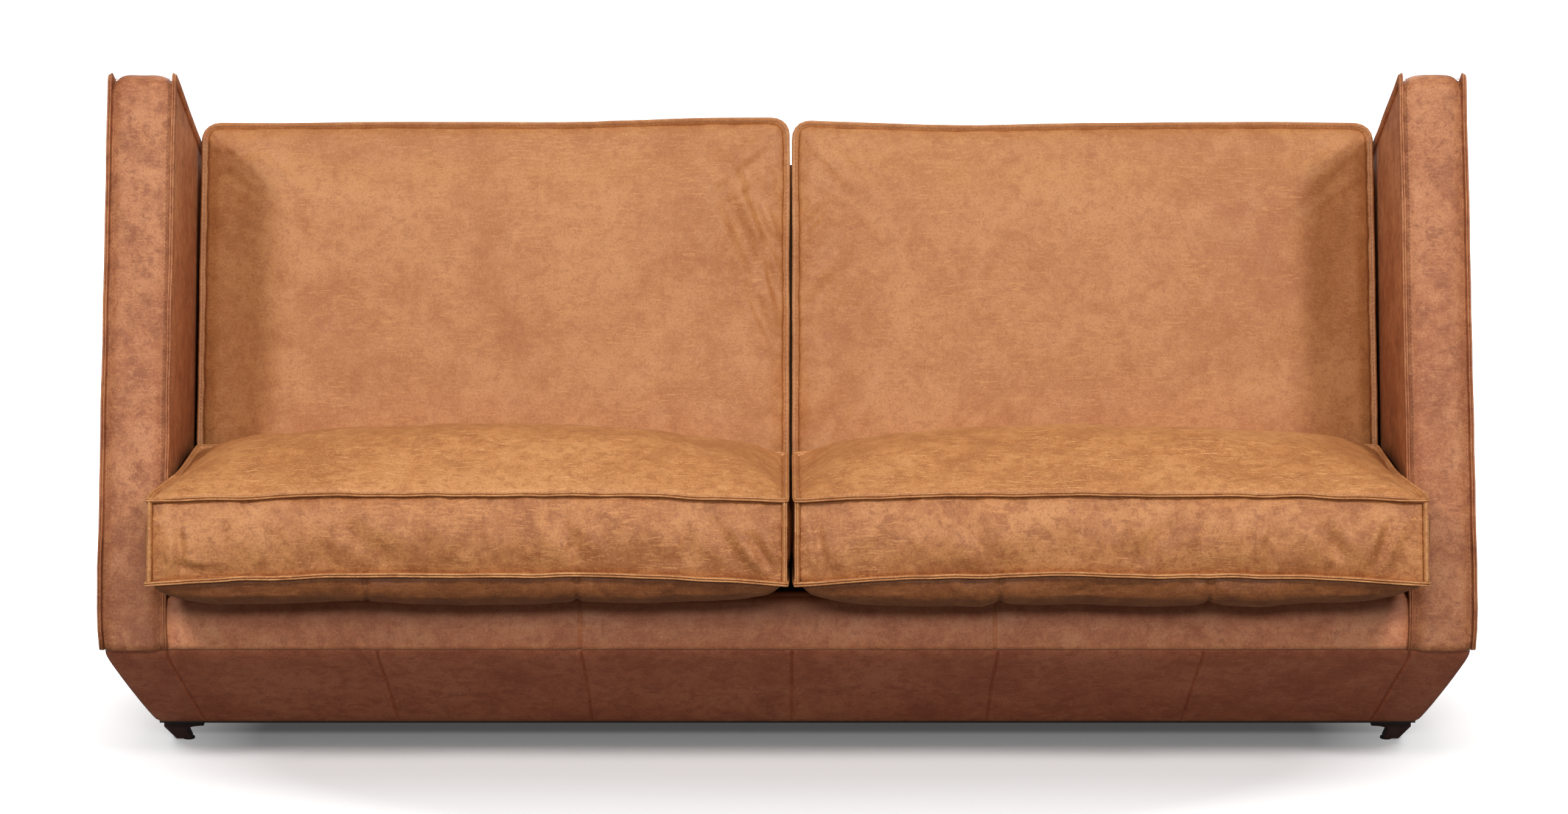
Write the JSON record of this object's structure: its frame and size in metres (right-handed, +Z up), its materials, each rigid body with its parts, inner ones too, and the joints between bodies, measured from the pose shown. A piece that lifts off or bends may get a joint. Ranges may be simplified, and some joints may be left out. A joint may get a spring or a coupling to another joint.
{
  "type": "sofa",
  "caption": "Two-seat leather sofa with thin raked slab arms, loose puffy seat and back cushions, a tucked-under base and short tapered wooden legs.",
  "frame": {"origin": "centre of the overall box, at floor level", "axes": "+X along the width towards the right arm as seen from the front, +Y towards the rear, +Z up"},
  "size_m": [2.02, 0.8466, 1.0072],
  "materials": {
    "arm_leather": "satin",
    "base_leather": "satin",
    "cushion_leather": "satin",
    "leg_wood": "satin",
    "frame_timber": "matte",
    "glide_nylon": "matte",
    "dust_fabric": "matte",
    "lining_fabric": "matte",
    "strap_webbing": "matte",
    "cushion_foam": "matte"
  },
  "bodies": {
    "frame": {"base_cover_front": "base_leather", "base_cover_rear": "base_leather", "base_cover_left": "base_leather", "base_cover_right": "base_leather", "base_rail_front": "frame_timber", "base_rail_rear": "frame_timber", "base_rail_left": "frame_timber", "base_rail_right": "frame_timber", "base_stretcher_left": "frame_timber", "base_stretcher_right": "frame_timber", "corner_block_front_left": "frame_timber", "corner_block_front_right": "frame_timber", "corner_block_rear_left": "frame_timber", "corner_block_rear_right": "frame_timber", "arm_frame_left": "frame_timber", "arm_frame_right": "frame_timber", "front_rail": "frame_timber", "rear_rail": "frame_timber", "side_rail_left": "frame_timber", "side_rail_right": "frame_timber", "back_top_rail": "frame_timber", "back_post_left": "frame_timber", "back_post_middle": "frame_timber", "back_post_right": "frame_timber", "leg_front_left": "leg_wood", "leg_front_right": "leg_wood", "leg_rear_left": "leg_wood", "leg_rear_right": "leg_wood", "glide_front_left": "glide_nylon", "glide_front_right": "glide_nylon", "glide_rear_left": "glide_nylon", "glide_rear_right": "glide_nylon", "dust_cloth": "dust_fabric", "deck_cloth": "dust_fabric", "arm_panel_outer_left": "arm_leather", "arm_panel_outer_right": "arm_leather", "arm_panel_inner_left": "arm_leather", "arm_panel_inner_right": "arm_leather", "arm_band_left": "arm_leather", "arm_band_right": "arm_leather", "front_strip_left": "arm_leather", "front_strip_middle": "arm_leather", "front_strip_right": "arm_leather", "back_cover_outer": "arm_leather", "back_cloth": "lining_fabric", "webbing_strap_1": "strap_webbing", "webbing_strap_2": "strap_webbing", "webbing_strap_3": "strap_webbing", "webbing_strap_4": "strap_webbing", "webbing_strap_5": "strap_webbing"},
    "seat_cushion_left": {"seat_cover_left": "cushion_leather", "seat_foam_left": "cushion_foam"},
    "back_cushion_left": {"back_cushion_cover_left": "cushion_leather", "back_cushion_foam_left": "cushion_foam"},
    "seat_cushion_right": {"seat_cover_right": "cushion_leather", "seat_foam_right": "cushion_foam"},
    "back_cushion_right": {"back_cushion_cover_right": "cushion_leather", "back_cushion_foam_right": "cushion_foam"}
  },
  "joints": [
    {"name": "lift_seat_cushion_left", "type": "slide", "parent": "frame", "child": "seat_cushion_left", "axis": [0, 0, 1], "range_m": [0, 0.16]},
    {"name": "lift_seat_cushion_right", "type": "slide", "parent": "frame", "child": "seat_cushion_right", "axis": [0, 0, 1], "range_m": [0, 0.16]},
    {"name": "lift_back_cushion_left", "type": "slide", "parent": "frame", "child": "back_cushion_left", "axis": [0, 0.365, 0.931], "range_m": [0, 0.2]},
    {"name": "lift_back_cushion_right", "type": "slide", "parent": "frame", "child": "back_cushion_right", "axis": [0, 0.365, 0.931], "range_m": [0, 0.2]}
  ]
}
